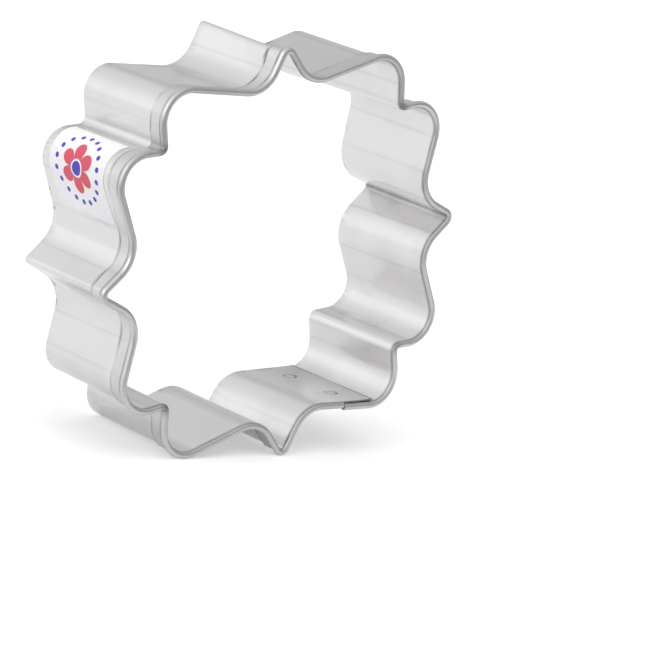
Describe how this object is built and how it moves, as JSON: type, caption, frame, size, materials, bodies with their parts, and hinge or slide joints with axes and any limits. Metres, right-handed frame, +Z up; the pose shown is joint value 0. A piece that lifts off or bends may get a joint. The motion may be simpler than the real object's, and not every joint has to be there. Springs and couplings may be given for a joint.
{
  "type": "plaque cookie cutter",
  "caption": "Scalloped plaque cookie cutter bent from one tinplate strip, with a folded rim, a plain cutting edge, a spot-welded lap and a small paper label.",
  "frame": {"origin": "on the surface that the cutter stands on, under the middle of its bounding box", "axes": "+Z up with the cutter standing on edge, on its bottom point and the shoulder beside it; the folded rim faces -Y, the cutting edge faces +Y, +X to the right seen from the rim"},
  "size_m": [0.0814, 0.0284, 0.0778],
  "materials": {
    "tinplate": "bright satin tinplate with faint rolling lines",
    "weld": "dull dimple left by the welding electrode",
    "label_paper": "white coated paper with a plain printed pattern"
  },
  "bodies": {
    "root": {"cutter_strip": "tinplate", "spot_weld_front": "weld", "spot_weld_rear": "weld", "label": "label_paper"}
  },
  "joints": []
}
